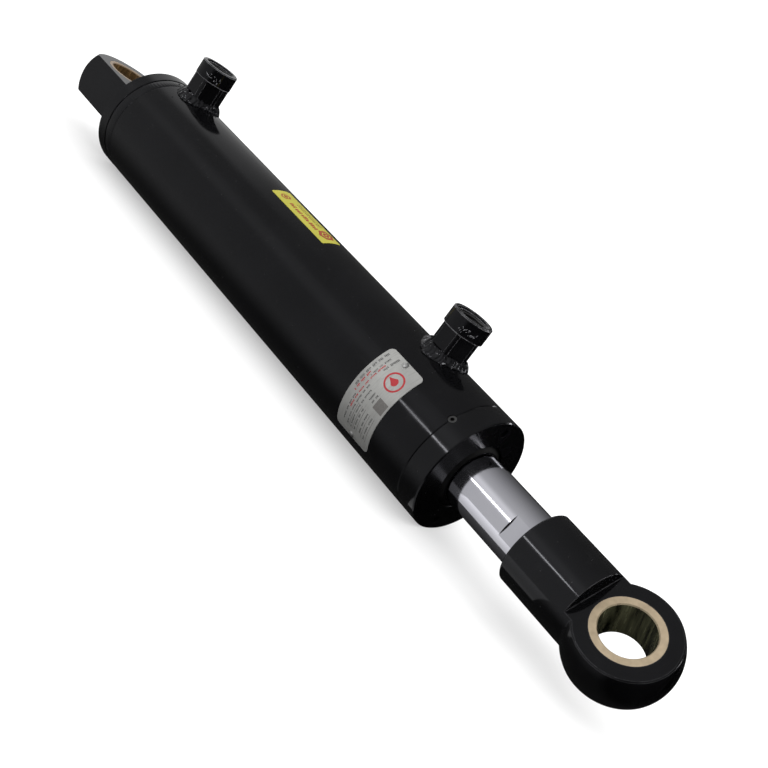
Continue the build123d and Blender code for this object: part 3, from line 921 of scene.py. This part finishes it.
def make_world():
    """White for the camera. Reflections see a room: walls that are palest in front and dim downwards,
    towards the back and towards the rod end, a window high in front, and a pale panel past each end of
    the cylinder. All other rays get soft light from above."""
    world = bpy.data.worlds.new("studio")
    bpy.context.scene.world = world
    world.use_nodes = True
    world.cycles.sampling_method = "NONE"
    w = Nodes(world.node_tree)
    background = w.tree.nodes["Background"]
    background.inputs["Color"].default_value = (1, 1, 1, 1)
    path = w.tree.nodes.new("ShaderNodeLightPath")
    axes = w.tree.nodes.new("ShaderNodeSeparateXYZ")
    w.link(w.tree.nodes.new("ShaderNodeTexCoord").outputs["Generated"], axes.inputs[0])
    x, y, z = axes.outputs

    def step(output, low, high, to_low=0.0, to_high=1.0):
        return w.spread(output, low, high, to_low, to_high, "SMOOTHSTEP")

    def choose(output, otherwise, chosen):
        node = w.tree.nodes.new("ShaderNodeMix")
        w.link(output, node.inputs["Factor"])
        for socket, value in ((node.inputs[2], otherwise), (node.inputs[3], chosen)):
            if isinstance(value, float):
                socket.default_value = value
            else:
                w.link(value, socket)
        return node.outputs[0]

    front = w.spread(y, -0.7, 1.0, 0.42, 0.04)
    away = step(x, 0.15, 0.5, 1.0, 0.06)
    below = step(w.math("SUBTRACT", z, w.math("MULTIPLY", y, 0.5)), -0.75, -0.15, 0.15, 1.0)
    window = w.math("MULTIPLY", w.math("MULTIPLY", step(z, 0.3, 0.5, 0.0, 0.2), step(z, 0.8, 0.55)),
                    step(y, -0.3, -0.6))
    left = w.math("MULTIPLY", step(x, -0.62, -0.78, 0.0, 0.5),
                  w.math("MULTIPLY", step(z, -0.1, 0.12), step(y, -0.1, 0.15)))
    back = w.math("MULTIPLY", step(x, 0.5, 0.75, 0.0, 0.3), step(z, 0.0, 0.3))
    wall = w.math("ADD", w.math("MULTIPLY", front, below), window)
    room = w.math("ADD", w.math("MULTIPLY", wall, away), w.math("ADD", left, back))
    soft_light = step(z, -0.2, 0.05, 0.12, 1.7)
    shown = choose(path.outputs["Is Glossy Ray"], soft_light, room)
    w.link(choose(path.outputs["Is Camera Ray"], shown, 1.1), background.inputs["Strength"])


def area_light(name, place, aim, size, power, glossy=True):
    """A rectangle of light with its first side along the cylinder; the camera does not see it."""
    data = bpy.data.lights.new(name, "AREA")
    data.shape = "RECTANGLE"
    data.size, data.size_y = size
    data.energy = power
    light = bpy.data.objects.new(name, data)
    bpy.context.scene.collection.objects.link(light)
    back = (Vector(place) - Vector(aim)).normalized()
    along = Vector((1, 0, 0))
    up = back.cross(along).normalized()
    along = up.cross(back).normalized()
    light.matrix_world = Matrix.Translation(place) @ Matrix((along, up, back)).transposed().to_4x4()
    light.visible_camera = False
    light.visible_glossy = glossy


def make_lights():
    """A soft top light, thin strips that draw lines on the enamel, and a card beneath the rod."""
    area_light("overhead", (0.2, 0.0, 1.3), (0.27, 0, 0), (1.4, 1.2), 3, glossy=False)
    area_light("strip", (-0.03, -0.94, 0.345), (-0.03, 0, 0), (0.4, 0.04), 0.6)
    area_light("back_strip", (0.95, 0.8, 0.5), (0.3, 0, 0), (0.9, 0.05), 2.0)
    area_light("card", (0.447, -0.041, 1 * MM - tube_radius), (0.447, -0.041, 1), (0.082, 0.036), 0.004)


# ---------------------------------------------------------------- the object

def dress_nodes():
    """Finishes for the CAD nodes that show as they are."""
    barrel_paint = black_enamel("barrel_enamel")
    cap_paint = black_enamel("cap_enamel", base=0.0016)
    # Port and eye enamel get pale painted edges: rubbed wear and a painted edge highlight together.
    port_paint = black_enamel("port_enamel", peel=0.2, worn_and_highlighted_edges=1.0)
    gland_paint = black_enamel("gland_enamel", base=0.001, dusty=0.003, dull_axis=(1, 0, 0), shine=0.4)
    eye_paint = black_enamel("eye_enamel", base=0.0012, roughness=(0.06, 0.12), worn_and_highlighted_edges=0.16, shine=0.44)
    iron = cast_iron()
    rubber = moulded("nitrile_rubber", (0.0015, 0.0015, 0.0015), (0.004, 0.004, 0.004), 0.5, shine=0.12)
    polyurethane = moulded("polyurethane", (0.02, 0.03, 0.05), (0.035, 0.05, 0.08), 0.35)
    tape = moulded("bearing_tape", (0.08, 0.05, 0.03), (0.14, 0.09, 0.05), 0.55)
    finishes = {
        "base_eye": cap_paint, "base_cap": cap_paint, "barrel_tube": barrel_paint, "gland": gland_paint,
        "base_port_boss": port_paint, "rod_port_boss": port_paint, "rod_eye": eye_paint,
        "base_eye_bush": bush_bronze("base_bronze", (0, 0, 1), (0.36, 0.27, 0.19), (0.2, 0.12, 0.05),
                                     (0.05, 0.03, 0.013)),
        "rod_eye_bush": bush_bronze("rod_bronze", mount_axis("rod_eye_bore"), (0.5, 0.4, 0.27),
                                    (0.16, 0.16, 0.09), (0.012, 0.013, 0.007)),
        "piston_rod": hard_chrome(),
        "gland_lock_screw": turned_steel("screw_steel", tint=(0.2, 0.2, 0.2), roughness=(0.3, 0.45)),
        "piston": iron, "piston_nut": phosphated_steel(),
        "gland_o_ring": rubber, "piston_o_ring": rubber, "gland_backup_ring": tape,
        "rod_guide_bush": tape, "piston_guide_rings": tape,
        "rod_seal": polyurethane, "piston_seal": polyurethane, "rod_wiper": rubber,
    }
    for node, material in finishes.items():
        for slot in nodes[node].material_slots:
            slot.material = material


def make_pieces():
    """The pieces that stand in for a CAD node or lie on one."""
    weld_paint = black_enamel("weld_enamel", base=0.002, roughness=(0.06, 0.14))
    # The port welds carry painted glints.
    port_weld_paint = black_enamel("port_weld_enamel", base=0.002, roughness=(0.06, 0.14), painted_glints=0.8,
                                   shine=0.4)
    steel = turned_steel("rivet_steel", tint=(0.9, 0.9, 0.89), roughness=(0.35, 0.5))
    thread_steel = turned_steel("thread_steel", tint=(0.16, 0.16, 0.16), roughness=(0.3, 0.45))
    scuffed = scuffed_enamel()
    ring_weld(weld_paint)
    lug_weld(weld_paint)
    for end, seed, low in (("base", 31, 56.4 * MM), ("rod", 47, 56.2 * MM)):
        port_weld(end, port_weld_paint, seed)
        port_thread(end, thread_steel)
        port_marks(end, scuffed, seed + 2, low)
    name_plate(plate_foil(), ink("dark_ink", (0.05, 0.05, 0.05)), ink("red_ink", (0.3, 0.004, 0.009)),
               ink("grey_ink", (0.1, 0.095, 0.09)), steel)
    yellow_label(yellow_vinyl(), ink("orange_ink", (0.2, 0.025, 0.006)),
                 ink("brown_ink", (0.11, 0.05, 0.012)))


make_camera()
dress_nodes()
make_pieces()
make_floor()
make_world()
make_lights()
bpy.context.scene.view_settings.view_transform = "Standard"
